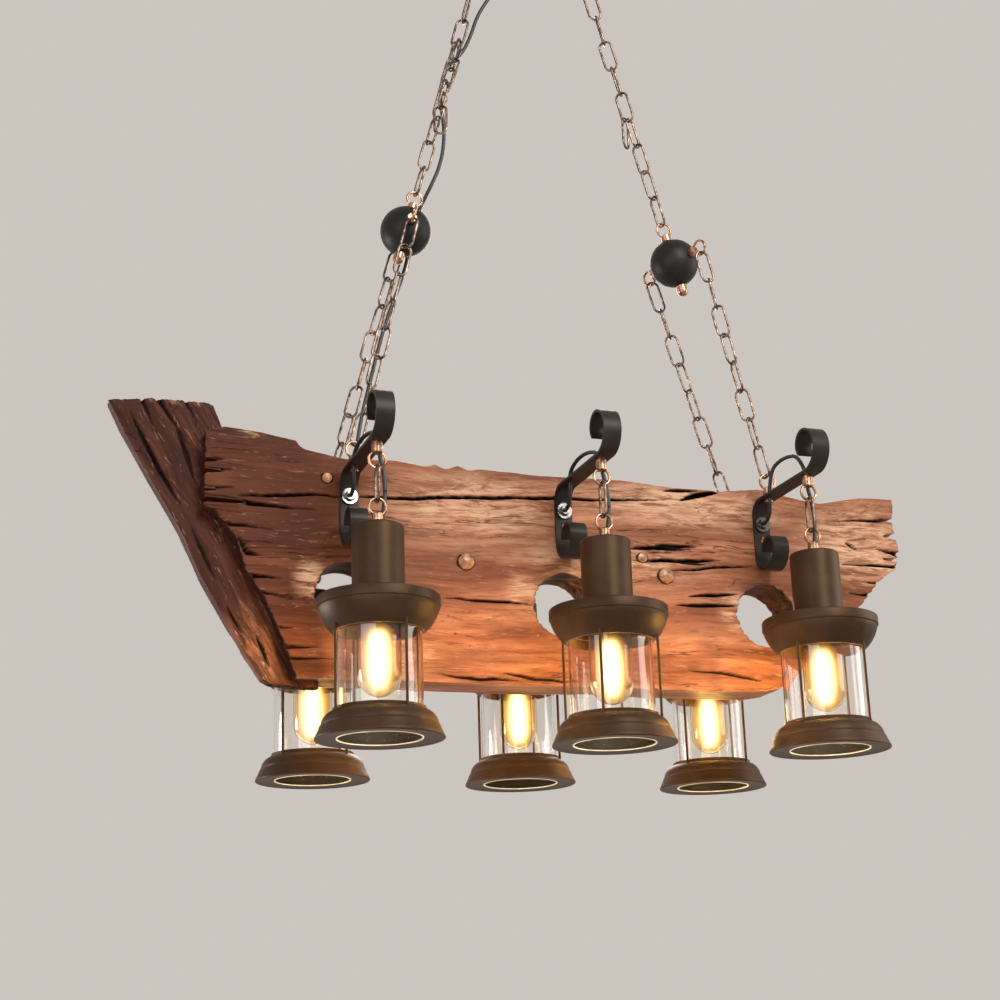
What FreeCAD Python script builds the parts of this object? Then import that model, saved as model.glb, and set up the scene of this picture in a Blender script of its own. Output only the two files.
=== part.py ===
import FreeCAD, Part
import math
import os

# An island pendant light: six lanterns hang from scrolled brackets on both sides of a thick
# weathered board with a raked stem, and the board hangs on two chains from a ceiling canopy.
# Lengths are in millimetres. Heights count up from the lanterns' feet, and every piece is lowered
# at the end so that the ceiling is at z = 0. The near side of the board is -Y.

V = FreeCAD.Vector
UP = V(0, 0, 1)

# Places of the lanterns
column_pitch = 250.0
columns = (("left", -1), ("middle", 0), ("right", 1))
rows = (("near", -1), ("far", 1))
row_offset = 146.0
guard_turns = {"near_left": 17, "near_middle": 56, "near_right": 31,
               "far_left": 36, "far_middle": 49, "far_right": 30}

# Glass and guard rods of one lantern
glass_radius = 44.0
glass_wall = 2.0
glass_length = 116.0
glass_fit = 0.4
glass_slack = 0.3
seat_width = 1.0
rod_radius = 1.5
rod_fit = 0.2
rod_gap = 6.5
rod_count = 4
nut_radius = 3.0
nut_height = 4.0

# Base of one lantern
foot_lip = 2.5
foot_rise = 12.5
foot_flare = 7.0
foot_plate = 2.0
base_shoulder = 7.5
base_rise = 10.5
shoulder_thickness = 5.0
base_socket = 9.0
spun_wall = 2.8
socket_wall = 2.4
groove_depth = 1.2

# Cap and neck of one lantern
cap_socket = 10.0
lip_width = 3.0
cap_seat_width = 3.0
bowl_rise = 23.0
rim_overhang = 12.5
rim_band = 11.0
shoulder_rise = 5.0
neck_radius = 27.0
neck_length = 72.0
neck_edge = 3.0
neck_cove = 3.0
top_wall = 4.0

# Lampholder and tubular bulb
holder_radius = 19.0
holder_length = 54.0
holder_top = 5.0
bulb_cap_radius = 13.0
bulb_cap_length = 25.0
bulb_cap_chamfer = 3.0
bulb_cap_fit = 0.3
bulb_stand_off = 0.5
bulb_radius = 22.5
bulb_neck_radius = 14.0
bulb_neck_length = 16.0
bulb_neck_step = 1.0
bulb_length = 106.0
nipple_radius = 5.0
nipple_fit = 0.2
locknut_radius = 9.0
locknut_height = 4.0

# Chain links, rings and their hubs
wire_diameter = 3.0
link_inner_length = 36.7
link_width = 18.0
link_gap = 0.5
ring_radius = 9.0
ring_sink = 2.0
hub_radius = 6.0
hub_chamfer = 1.0
loop_reach = 20.0
bolt_reach = 18.5
stud_radius = 2.5
stud_fit = 0.2
stud_nut_radius = 5.0

# Strap brackets
strap_width = 20.0
strap_thickness = 3.0
bend_radius = 16.0
lower_scroll_radius = 22.0
lower_curl_radius = 14.0
scroll_margin = 13.5
upper_scroll_radius = 24.0
upper_curl_radius = 15.0
upper_curl_turn = 135.0
arm_overrun = 12.0
screw_margin = 5.5
screw_radius = 2.0
screw_head_radius = 4.5
screw_head_height = 2.5
screw_head_taper = 1.0
screw_length = 22.0
screw_point = 4.0
screw_tip_radius = 0.2
screw_fit = 0.1
chain_bolt_offset = 52.0

# Cable glands, leads and the supply cord
gland_radius = 6.0
gland_flange_radius = 9.0
gland_flange = 3.0
gland_dome = 4.0
gland_taper = 1.0
gland_margin = 1.5
gland_depth = 12.0
gland_fit = 0.3
lead_diameter = 4.6
lead_fit = 0.3
lead_hole_x = 5.2
lead_hole_inset = 12.0
lead_entry_x = 7.8
lead_rise_x = -3.0
lead_rise_inset = 60.8
loop_rises = {"near_left": 24.0, "near_middle": 22.0, "near_right": 37.0,
              "far_left": 28.0, "far_middle": 22.0, "far_right": 31.0}
supply_diameter = 4.6
wiring_bore_radius = 3.3
supply_column = -235.0
supply_entry = 331.0
supply_lead_in = 14.0
supply_depth = 28.0
supply_behind = 13.5

# Board and stem, as seen from the near side
board_thickness = 54.0
board_hole_radius = 36.5
board_hole_height = 176.0
stem_thickness = 18.0
stem_fit = 0.2
stem_housing = 30.0
peg_radius = 9.0
small_peg_radius = 5.5
peg_crown = 4.0
small_peg_crown = 1.5
peg_fit = 0.1
peg_edge_share = 0.4
pegs_at = ((-117.0, 220.0), (124.0, 217.0))
small_pegs_at = ((96.0, 237.0), (-274.0, 306.0))

# The board's edge, clockwise from its top left corner
board_top = ((-408, 350), (-387, 357), (-347, 354), (-308, 347), (-299, 338), (-254, 330), (-197, 332),
             (-162, 328), (-150, 332), (-138, 327), (-124, 332), (-110, 327), (-98, 330), (-26, 327),
             (73, 329), (150, 325), (198, 325), (253, 331), (306, 321), (332, 319), (388, 330))
board_right = ((434, 331), (431, 297), (436, 266), (430, 243), (405, 226), (381, 199), (262, 90))
board_bottom = ((240, 86), (158, 84), (35, 85), (-82, 83), (-161, 84))
board_left = ((-308, 83), (-323, 124), (-345, 172), (-364, 199), (-373, 231), (-398, 263), (-409, 266))

# Splits at the board's ends: mouth height, mouth width, depth into the wood
left_splits = ((318.0, 5.0, 22.0), (305.0, 6.0, 26.0), (284.0, 4.0, 24.0), (273.0, 6.0, 62.0))
right_splits = ((304.0, 3.0, 66.0), (283.0, 8.0, 24.0), (254.0, 4.0, 58.0))

# The stem's free edge, from the top inner corner round its tip to the foot
stem_edge = ((-386, 362), (-396, 387), (-402, 389), (-465, 389), (-510, 383), (-495, 352), (-463, 296),
             (-429, 240), (-407, 191), (-380, 145), (-358, 110), (-340, 84), (-332, 79), (-300, 76))

# Suspension
lower_links = 8
upper_links = 10
chain_lean = 14.8
lower_link_turn = 60.0
upper_link_turn = 82.0
ball_radius = 30.0
ball_turns = {-1: -4.0, 1: 20.0}
ball_eye_reach = 15.0
ball_stud_length = 11.0
finial_radius = 6.5
finial_length = 14.0
spare_carriers = {-1: 3, 1: 5}
spare_lift = 2.8
spare_aside = 4.2

# Each spare link's lean away from its chain, in degrees: outwards, sideways
spare_leans = {-1: ((20.0, 5.0), (4.0, 0.0), (0.0, 0.0), (0.0, 14.0)), 1: ((6.0, 12.0),)}

# Ceiling canopy
canopy_radius = 100.0
canopy_depth = 32.0
canopy_curve = 14.0
canopy_wall = 2.0
bar_width = 22.0
bar_thickness = 3.0
bar_margin = 14.0
ceiling_screw_spacing = 80.0
ceiling_screw_hole_radius = 2.75
hook_reach = 21.0
hook_nut_height = 4.0
grip_radius = 7.0
grip_flange = 3.0
grip_tip_wall = 1.0
grip_column = -25.0
cord_end_gap = 0.6

# Shares that shape arcs and bends
arc_share = 1 - math.sqrt(0.5)
bend_share = 0.45
rod_share = 0.75
cut_overrun = 1.0

# Sizes that follow
wire_radius = wire_diameter / 2
hooked = wire_diameter + link_gap
link_span = link_inner_length + wire_diameter
link_pitch = link_inner_length - link_gap
rod_circle = glass_radius + rod_gap
groove_radius = rod_circle + base_shoulder
foot_radius = groove_radius + foot_flare
floor_height = foot_rise + base_rise
shoulder_height = floor_height + shoulder_thickness
socket_radius = glass_radius + glass_fit
cap_seat = foot_plate + glass_length + glass_slack
lip_height = cap_seat - cap_socket
cap_groove = lip_height + bowl_rise
rim_height = cap_groove + rim_band
neck_foot = rim_height + shoulder_rise
neck_top = neck_foot + neck_length
lantern_ring = neck_top + loop_reach
lantern_pivot = lantern_ring + ring_radius - hooked
link_pivot = lantern_pivot + link_span - hooked
arm_height = link_pivot + ring_radius + loop_reach + strap_thickness / 2
board_face = board_thickness / 2
strap_face = board_face + strap_thickness
gland_height = arm_height - bend_radius - gland_flange_radius - gland_margin
screw_height = gland_height - gland_flange_radius - screw_head_radius - screw_margin
lower_scroll_height = screw_height - screw_head_radius - scroll_margin
bolt_ring = arm_height + strap_thickness / 2 + bolt_reach
ball_reach = ball_radius + ball_eye_reach
lead_radius = lead_diameter / 2
supply_radius = supply_diameter / 2
lead_hole_y = lead_hole_inset - row_offset


def revolved(start, steps):
    """A turned piece about Z: each step is a line to (r, z), or an arc through (r, z) to (r, z)."""
    first = V(start[0], 0, start[1])
    here = first
    edges = []
    for step in steps:
        end = V(step[-2], 0, step[-1])
        if len(step) == 4:
            edges.append(Part.Arc(here, V(step[0], 0, step[1]), end).toShape())
        else:
            edges.append(Part.LineSegment(here, end).toShape())
        here = end
    edges.append(Part.LineSegment(here, first).toShape())
    return Part.Face(Part.Wire(edges)).revolve(V(), UP, 360)


def dome_middle(radius, rise):
    """The point half way along a round dome's profile, from its edge's height."""
    sphere = (radius ** 2 + rise ** 2) / (2 * rise)
    half_angle = math.asin(min(1.0, radius / sphere)) / 2
    return sphere * math.sin(half_angle), sphere * math.cos(half_angle) - (sphere - rise)


def placed(shape, origin, along, across):
    """A copy whose own Z points along, whose own X points across and whose origin moves to origin."""
    z = V(along).normalize()
    y = z.cross(V(across)).normalize()
    x = y.cross(z)
    matrix = FreeCAD.Matrix(x.x, y.x, z.x, origin.x, x.y, y.y, z.y, origin.y,
                            x.z, y.z, z.z, origin.z, 0, 0, 0, 1)
    copy = shape.copy()
    copy.Placement = FreeCAD.Placement(matrix)
    return copy


def rod(start, end, radius):
    return Part.makeCylinder(radius, (end - start).Length, start, end - start)


def fused(first, *others):
    return first.multiFuse(list(others)).removeSplitter()


def turned(shape, degrees):
    """A copy turned about the vertical through the origin."""
    copy = shape.copy()
    copy.rotate(V(), UP, degrees)
    return copy


def moved(shape, offset):
    copy = shape.copy()
    copy.translate(offset)
    return copy


def at_stations(shape, which=(-1, 0, 1)):
    """Copies of a near-side piece on both sides of some columns: the far ones are turned half round."""
    copies = []
    for _, side in rows:
        for column in which:
            copies.append(moved(turned(shape, 90 * (side + 1)), V(column * column_pitch, 0, 0)))
    return copies


# Chain links, ringed eyes and chains
def chain_link():
    """A stadium of round wire in the XZ plane, its long way along Z."""
    half = (link_width - wire_diameter) / 2
    straight = link_span / 2 - half
    section = Part.Face(Part.Wire(Part.makeCircle(wire_radius, V(half, 0, straight), UP)))
    side = section.extrude(V(0, 0, -2 * straight))
    bend = section.revolve(V(0, 0, straight), V(0, -1, 0), 180)
    both = fused(side, bend)
    return fused(both, both.rotated(V(), V(0, 1, 0), 180))


def eye(reach, stud_length):
    """A ring sunk in a hub that stands on z = 0, with a stud below: the ring lies in the XZ plane."""
    top = reach - ring_radius + ring_sink
    hub = revolved((0, 0), [(hub_radius, 0), (hub_radius, top - hub_chamfer),
                            (hub_radius - hub_chamfer, top), (0, top)])
    ring = Part.makeTorus(ring_radius, wire_radius, V(0, 0, reach), V(0, 1, 0))
    stud = Part.makeCylinder(stud_radius, stud_length, V(), V(0, 0, -1))
    return fused(hub, ring, stud)


def chain(top_ring, top_normal, bottom_ring, bottom_normal, count, link_turn):
    """Links between two rings, each turned by an even share of about link_turn from its neighbour."""
    along = (top_ring - bottom_ring).normalize()
    first = top_ring - along * ring_radius
    overlap = (count * link_span - (first - bottom_ring).Length + ring_radius) / (count + 1)
    across = (V(top_normal) - along * along.dot(top_normal)).normalize()
    last = V(bottom_normal) - along * along.dot(bottom_normal)
    twist = math.degrees(math.atan2(along.dot(across.cross(last)), across.dot(last)))
    half_turns = round(((count + 1) * link_turn - twist) / 180)
    share = (twist + 180 * half_turns) / (count + 1)
    links = []
    for k in range(count):
        centre = first + along * (overlap - link_span / 2 - k * (link_span - overlap))
        normal = FreeCAD.Rotation(along, share * (k + 1)).multVec(across)
        links.append(placed(link_solid, centre, along, normal.cross(along)))
    return links


link_solid = chain_link()


# One lantern, upright about Z with its foot on z = 0
def lantern_base():
    """A spun base, hollow between its skirt and the glass, which stands on the inner edge of its plate."""
    collar = socket_radius + socket_wall
    lip = glass_radius - seat_width
    top = shoulder_height + base_socket
    shoulder = collar + spun_wall
    inner = groove_radius - spun_wall
    bulge = (groove_radius + shoulder) / 2 + groove_depth * 2
    shell = revolved((lip, 0), [
        (foot_radius, 0), (foot_radius, foot_lip), (groove_radius + groove_depth, foot_rise - groove_depth),
        (groove_radius, foot_rise), (groove_radius, foot_rise + groove_depth),
        (bulge, floor_height, shoulder, shoulder_height + spun_wall),
        (collar, top - spun_wall), (collar, top), (socket_radius, top), (socket_radius, floor_height),
        (inner, floor_height), (inner, foot_rise), (foot_radius - spun_wall, foot_plate), (lip, foot_plate)])
    for place in rod_places():
        shell = shell.cut(rod(place + UP * foot_rise, place + UP * top, rod_radius + rod_fit))
    return shell


def rod_places():
    steps = [2 * math.pi * k / rod_count for k in range(rod_count)]
    return [V(rod_circle * math.cos(a), rod_circle * math.sin(a), 0) for a in steps]


def lantern_cap():
    lip = rod_circle + lip_width
    rim = rod_circle + rim_overhang
    seat = glass_radius - cap_seat_width
    groove = rim - groove_depth
    inner = rim - spun_wall
    ledge = cap_seat + spun_wall
    bore = nipple_radius + nipple_fit
    edge = neck_edge * arc_share
    cove = neck_cove * arc_share
    shell = revolved((bore, neck_top), [
        (neck_radius - neck_edge, neck_top),
        (neck_radius - edge, neck_top - edge, neck_radius, neck_top - neck_edge),
        (neck_radius, neck_foot + neck_cove),
        (neck_radius + cove, neck_foot + cove, neck_radius + neck_cove, neck_foot),
        (rim - shoulder_rise, neck_foot - shoulder_rise / 2),
        (rim - shoulder_rise * 0.2, neck_foot - shoulder_rise * 0.75, rim, rim_height),
        (rim, cap_groove + 2 * groove_depth), (groove, cap_groove + groove_depth), (groove, cap_groove),
        (rim - 2 * groove_depth, (lip_height + cap_groove) / 2, lip, lip_height),
        (socket_radius, lip_height), (socket_radius, cap_seat), (seat, cap_seat), (seat, ledge),
        (inner - 2 * spun_wall, ledge), (inner - spun_wall, cap_groove), (inner, rim_height - spun_wall),
        (neck_radius, neck_foot - spun_wall), (neck_radius - spun_wall, neck_foot),
        (neck_radius - spun_wall, neck_top - top_wall), (bore, neck_top - top_wall)])
    for place in rod_places():
        hole = Part.makeCylinder(rod_radius + rod_fit, rod_depth() + rod_fit, place + V(0, 0, lip_height))
        shell = shell.cut(hole)
    return shell


def rod_depth():
    return rod_share * cap_socket


def lead_entry(cap):
    """The near side's cap with the hole in its top where the lead goes in."""
    low = V(lead_entry_x, lead_hole_inset, neck_top - 2 * top_wall)
    return cap.cut(rod(low, low + UP * 3 * top_wall, lead_radius + lead_fit))


def guard_rods():
    pieces = []
    for place in rod_places():
        foot = place + V(0, 0, floor_height - nut_height)
        head = place + V(0, 0, lip_height + rod_depth())
        nut = rod(foot, place + V(0, 0, floor_height), nut_radius)
        pieces.append(fused(nut, rod(foot, head, rod_radius)))
    return Part.Compound(pieces)


def glass_tube():
    inner = glass_radius - glass_wall
    top = foot_plate + glass_length
    return revolved((glass_radius, foot_plate), [(glass_radius, top), (inner, top), (inner, foot_plate)])


def holder_foot():
    return neck_top - top_wall - locknut_height - holder_length


def lampholder():
    """The brass lampholder inside the neck, its nipple, and the loop that it hangs from."""
    bore = bulb_cap_radius + bulb_cap_fit
    foot = holder_foot()
    roof = foot + holder_length
    ceiling = foot + bulb_cap_length - bulb_stand_off
    body = revolved((bore, foot), [
        (holder_radius, foot), (holder_radius, roof - holder_top), (holder_radius - holder_top, roof),
        (locknut_radius, roof), (locknut_radius, roof + locknut_height),
        (nipple_radius, roof + locknut_height), (nipple_radius, neck_top), (0, neck_top), (0, ceiling),
        (bore, ceiling)])
    loop = moved(eye(loop_reach, top_wall), V(0, 0, neck_top))
    return fused(body, loop)


def bulb():
    foot = holder_foot() - bulb_stand_off
    tip = foot - bulb_length
    neck = foot - bulb_neck_length
    dome = tip + bulb_radius
    slant = bulb_radius * math.sqrt(0.5)
    flare = (bulb_neck_radius + bulb_radius) / 2
    return revolved((0, foot + bulb_cap_length), [
        (bulb_cap_radius - bulb_cap_chamfer, foot + bulb_cap_length),
        (bulb_cap_radius, foot + bulb_cap_length - bulb_cap_chamfer),
        (bulb_cap_radius, foot), (bulb_neck_radius, foot - bulb_neck_step), (flare, (foot + neck) / 2),
        (bulb_radius, neck), (bulb_radius, dome), (slant, dome - slant, 0, tip)])


# Brackets: a strap that runs from the lower curl up the board, out along the arm and round the scroll
def strap_outline(start, steps, offset):
    """One edge of the strap, offset to the left of a path that starts upwards from start."""
    here = V(start)
    heading = 90.0
    edges = []
    for length, turn in steps:
        side = V(math.cos(math.radians(heading + 90)), math.sin(math.radians(heading + 90)), 0)
        if turn == 0:
            after = here + V(side.y, -side.x, 0) * length
            edges.append((here + side * offset, None, after + side * offset))
        else:
            centre = here + side * math.copysign(length, turn)
            spin = FreeCAD.Rotation(V(0, 0, 1), turn)
            half = FreeCAD.Rotation(V(0, 0, 1), turn / 2)
            arm = here + side * offset - centre
            edges.append((here + side * offset, centre + half.multVec(arm), centre + spin.multVec(arm)))
            after = centre + spin.multVec(here - centre)
        here = after
        heading += turn
    return edges


def bracket():
    middle = strap_face - strap_thickness / 2
    start = V(middle + 2 * lower_scroll_radius - 2 * lower_curl_radius, lower_scroll_height, 0)
    rise = arm_height - bend_radius - lower_scroll_height
    arm = row_offset + arm_overrun - middle - bend_radius
    steps = ((lower_curl_radius, -180), (lower_scroll_radius, -180), (rise, 0), (bend_radius, -90),
             (arm, 0), (upper_scroll_radius, 180), (upper_curl_radius, upper_curl_turn))
    left = strap_outline(start, steps, strap_thickness / 2)
    right = strap_outline(start, steps, -strap_thickness / 2)
    caps = [(left[0][0], None, right[0][0]), (left[-1][2], None, right[-1][2])]
    edges = []
    for first, between, last in left + right + caps:
        if between is None:
            edges.append(Part.LineSegment(to_section(first), to_section(last)).toShape())
        else:
            edges.append(Part.Arc(to_section(first), to_section(between), to_section(last)).toShape())
    face = Part.Face(Part.Wire(Part.__sortEdges__(edges)))
    return face.extrude(V(strap_width, 0, 0))


def to_section(point):
    """A point of the strap's side view, (distance out, height), on the strap's left edge."""
    return V(-strap_width / 2, -point.x, point.y)


def drilled_bracket(with_chain_bolt):
    upright = ((gland_height, gland_radius + gland_fit), (screw_height, screw_radius + screw_fit))
    strap = bracket()
    for height, radius in upright:
        inner = V(0, cut_overrun - board_face, height)
        strap = strap.cut(rod(inner, V(0, -strap_face - cut_overrun, height), radius))
    lead_bore = lead_radius + lead_fit
    across = [(0, -row_offset, stud_radius + stud_fit), (lead_hole_x, lead_hole_y, lead_bore),
              (lead_rise_x, -lead_rise_inset, lead_bore)]
    if with_chain_bolt:
        across.append((0, -chain_bolt_offset, stud_radius + stud_fit))
    for x, y, radius in across:
        low = V(x, y, arm_height - strap_thickness)
        strap = strap.cut(rod(low, low + UP * 2 * strap_thickness, radius))
    return strap


def gland():
    bore = lead_radius + lead_fit / 2
    flange = gland_depth + strap_thickness
    tip = flange + gland_flange + gland_dome
    body = revolved((bore, 0), [
        (gland_radius, 0), (gland_radius, flange), (gland_flange_radius, flange),
        (gland_flange_radius, flange + gland_flange), (gland_radius, flange + gland_flange),
        (gland_radius - gland_taper, tip), (bore, tip)])
    return placed(body, V(0, gland_depth - board_face, gland_height), V(0, -1, 0), UP)


def bracket_screw():
    head = screw_head_height + strap_thickness
    body = revolved((0, -screw_length), [
        (screw_tip_radius, -screw_length), (screw_radius, screw_point - screw_length),
        (screw_radius, strap_thickness), (screw_head_radius, strap_thickness),
        (screw_head_radius - screw_head_taper, head), (0, head)])
    return placed(body, V(0, -board_face, screw_height), V(0, -1, 0), UP)


def arm_loop():
    """The loop under the arm's end and the nut that holds it from above."""
    under = arm_height - strap_thickness / 2
    over = arm_height + strap_thickness / 2
    nut_top = over + nut_height
    loop = placed(eye(loop_reach, strap_thickness + nut_height), V(0, -row_offset, under), -UP, V(1, 0, 0))
    nut = rod(V(0, -row_offset, over), V(0, -row_offset, nut_top), stud_nut_radius)
    return [loop, nut.cut(rod(V(0, -row_offset, over), V(0, -row_offset, nut_top), stud_radius))]


# Leads and the supply cord
def tube(points, diameter, name):
    """A cord: straight runs joined by arcs as large as the runs allow."""
    edges = []
    radii = []
    here = points[0]
    for before, corner, after in zip(points, points[1:], points[2:]):
        into = (corner - before).normalize()
        out = (after - corner).normalize()
        half_turn = into.getAngle(out) / 2
        reach = bend_share * min((corner - before).Length, (after - corner).Length)
        radius = reach / math.tan(half_turn)
        middle = corner + (out - into).normalize() * radius * (1 / math.cos(half_turn) - 1)
        edges.append(Part.LineSegment(here, corner - into * reach).toShape())
        here = corner + out * reach
        edges.append(Part.Arc(corner - into * reach, middle, here).toShape())
        radii.append(radius)
    edges.append(Part.LineSegment(here, points[-1]).toShape())
    path = Part.Wire(edges)
    section = Part.Wire(Part.makeCircle(diameter / 2, points[0], points[1] - points[0]))
    solid = path.makePipeShell([section], True, False)
    share = solid.Volume / (math.pi * diameter ** 2 / 4 * path.Length)
    print(f"{name}: length {path.Length:.0f}, least radius {min(radii):.1f}, volume share {share:.4f}")
    return solid


def lead_route(loop_rise):
    """A near lead's hand-laid route: gland, up through the arm, down through it, lantern."""
    x = lead_rise_x
    rise = -lead_rise_inset
    y = lead_hole_y
    top = arm_height + loop_rise
    return [V(0, -30, gland_height), V(0, -43, gland_height), V(-1.2, -54, gland_height + 7),
            V(x + 0.2, rise + 0.8, arm_height - 8.5), V(x - 0.2, rise - 0.7, arm_height + 7),
            V(-2.5, -69.5, top - 7.5), V(0, -82, top - 1.5), V(3.5, -98, top), V(6, -116, top - 4.5),
            V(lead_hole_x, y, arm_height + 8),
            V(lead_hole_x + 0.3, y, arm_height - 9), V(lead_entry_x + 1.5, y, arm_height - 26),
            V(lead_entry_x + 4, y, arm_height - 44), V(lead_entry_x + 3, y, neck_top + 28),
            V(lead_entry_x + 0.2, y, neck_top + 11), V(lead_entry_x - 0.1, y, neck_top - 6)]


def chain_frame(side):
    """The ball's centre on one side, the way up its chain and the ball's near eye direction."""
    lean = math.radians(chain_lean)
    turn = math.radians(ball_turns[side])
    up = V(-side * math.sin(lean), 0, math.cos(lean))
    beside = V(math.cos(lean), 0, side * math.sin(lean))
    near_eye = V(0, -math.cos(turn), 0) + beside * math.sin(turn)
    taut = 2 * ring_radius + lower_links * link_pitch - hooked
    rise = math.sqrt(taut ** 2 - (chain_bolt_offset - ball_reach) ** 2)
    foot = V(side * column_pitch, 0, bolt_ring)
    return foot + up * rise, up, near_eye


def hook_ring(side):
    """The centre of the ceiling hook's ring on one side."""
    centre, up, _ = chain_frame(side)
    return centre + up * (ball_reach + 2 * ring_radius + upper_links * link_pitch - hooked)


def supply_route():
    """The supply cord: from the ceiling grip down behind the left chain and ball into the board's top."""
    ball, up, _ = chain_frame(-1)
    beside = V(up.z, 0, -up.x)
    start = V(grip_column, 0, sway_height - cord_end_gap)
    points = [start, start + V(-6, 3, -19), start + V(-17, 7, -38), start + V(-31, 11, -57)]
    along_chain = ((92, 17.5), (122, 16.4), (150, 12.2), (176, -1.6), (202, -3.7), (230, 1.6), (258, 13.3),
                   (286, 19.6), (314, 21.2), (342, 17.5))
    for down, aside in along_chain:
        points.append(hook_ring(-1) - up * down + beside * aside + V(0, supply_behind, 0))
    past_ball = ((21, 32, 36), (16, 38, 6), (10, 34, -26), (-2, 25, -60), (-20, 18, -106),
                 (-33, 13, -152), (-45, 8, -198), (-55, 3, -236))
    points += [ball + V(*offset) for offset in past_ball]
    over = V(supply_column, 0, supply_entry + supply_lead_in)
    return points + [over, V(supply_column - 0.1, 0, supply_entry - supply_depth)]


# The board, its stem and pegs
def profile_prism(points, thickness):
    """A plate in the XZ plane, centred on y = 0."""
    corners = [V(x, -thickness / 2, z) for x, z in points]
    face = Part.Face(Part.makePolygon(corners + corners[:1]))
    return face.extrude(V(0, thickness, 0))


def stem_outline():
    """The stem's free edge, closed by the edge that is housed in the board's left end."""
    foot = (board_left[0][0] + stem_housing, stem_edge[-1][1])
    housed = [(x + stem_housing, z) for x, z in board_left[1:-1]]
    return list(stem_edge) + [foot] + housed


def split(end_x, inward, height, mouth, depth):
    """A wedge cut through the board's end."""
    y = board_thickness
    corners = [V(end_x - inward, -y, height - mouth / 2), V(end_x - inward, -y, height + mouth / 2),
               V(end_x + inward * depth, -y, height)]
    return Part.Face(Part.makePolygon(corners + corners[:1])).extrude(V(0, 2 * y, 0))


def board():
    outline = board_top + board_right + board_bottom + board_left
    plank = profile_prism(outline, board_thickness)
    cuts = [profile_prism(stem_outline(), stem_thickness + 2 * stem_fit)]
    for height, mouth, depth in left_splits:
        cuts.append(split(board_left[-1][0], 1, height, mouth, depth))
    for height, mouth, depth in right_splits:
        cuts.append(split(board_right[2][0], -1, height, mouth, depth))
    across = V(0, board_thickness, 0)
    for _, column in columns:
        x = column * column_pitch
        hole = V(x, 0, board_hole_height)
        cuts.append(rod(hole - across, hole + across, board_hole_radius))
        wires = V(x, 0, gland_height)
        cuts.append(rod(wires - across, wires + across, gland_radius + gland_fit))
        for side in (-1, 1):
            pilot = V(x, side * board_face, screw_height)
            cuts.append(rod(pilot, pilot - V(0, side * screw_length, 0), screw_radius + screw_fit))
    reach = V(column_pitch, 0, 0)
    cuts.append(rod(V(0, 0, gland_height) - reach, V(0, 0, gland_height) + reach, wiring_bore_radius))
    crest = max(z for _, z in board_top) + cut_overrun
    cuts.append(rod(V(supply_column, 0, gland_height), V(supply_column, 0, crest), supply_radius + lead_fit))
    for places, radius in ((pegs_at, peg_radius), (small_pegs_at, small_peg_radius)):
        for x, z in places:
            cuts.append(rod(V(x, 0, z) - across, V(x, 0, z) + across, radius + peg_fit))
    return plank.cut(Part.Compound(cuts))


def peg(x, z, radius, crown):
    """A turned peg right through the board, with a domed head on each face."""
    edge = board_face + peg_edge_share * crown
    top = board_face + crown
    mid_radius, mid_rise = dome_middle(radius, top - edge)
    body = revolved((0, top), [(mid_radius, edge + mid_rise, radius, edge), (radius, -edge),
                               (mid_radius, -edge - mid_rise, 0, -top)])
    return placed(body, V(x, 0, z), V(0, 1, 0), UP)


# The suspension
def suspension():
    """Balls, their eyes and finials with the chain bolts, and all the links."""
    balls, eyes, links = [], [], []
    for side in (-1, 1):
        ball, up, near_eye = chain_frame(side)
        facing = V(0, 1, 0)
        upper = ball + up * ball_reach
        hook = hook_ring(side)
        main = chain(hook, facing, upper, facing, upper_links, upper_link_turn)
        links += main + spare_chain(side, main, up)
        body = Part.makeSphere(ball_radius, ball)
        seats = [(up, facing)]
        for reach in (near_eye, near_eye * -1):
            row = -1 if reach.y < 0 else 1
            ring = ball + reach * ball_reach
            bolt = V(side * column_pitch, row * chain_bolt_offset, bolt_ring)
            hang = (bolt - ring).normalize()
            ring_normal = reach.cross(hang)
            bolt_normal = UP.cross(hang)
            links += chain(ring, ring_normal, bolt, bolt_normal, lower_links, lower_link_turn)
            seats.append((reach, ring_normal))
            eyes += chain_bolt(bolt, bolt_normal)
        for reach, normal in seats:
            body = body.cut(rod(ball, ball + reach * (ball_radius + cut_overrun), stud_radius + stud_fit))
            seat = ball + reach * ball_radius
            solid = eye(ball_eye_reach, ball_stud_length)
            eyes.append(placed(solid, seat, reach, V(normal).cross(reach)))
        body = body.cut(rod(ball, ball - up * (ball_radius + cut_overrun), stud_radius + stud_fit))
        eyes.append(placed(finial(), ball - up * ball_radius, up * -1, V(0, 1, 0)))
        balls.append(body)
    return balls, eyes, links


def chain_bolt(ring, normal):
    """An eyebolt through a bracket's arm, with its nut under the arm."""
    over = V(ring.x, ring.y, arm_height + strap_thickness / 2)
    under = over - UP * strap_thickness
    bolt = placed(eye(bolt_reach, strap_thickness + nut_height), over, UP, V(normal).cross(UP))
    nut = rod(under, under - UP * nut_height, stud_nut_radius)
    return [bolt, nut.cut(rod(under, under - UP * nut_height, stud_radius))]


def finial():
    """The domed end under a ball."""
    edge = finial_length / 2
    mid_radius, mid_rise = dome_middle(finial_radius, finial_length - edge)
    return revolved((0, -ball_stud_length), [
        (stud_radius, -ball_stud_length), (stud_radius, 0), (finial_radius, 0), (finial_radius, edge),
        (mid_radius, edge + mid_rise, 0, finial_length)])


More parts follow.
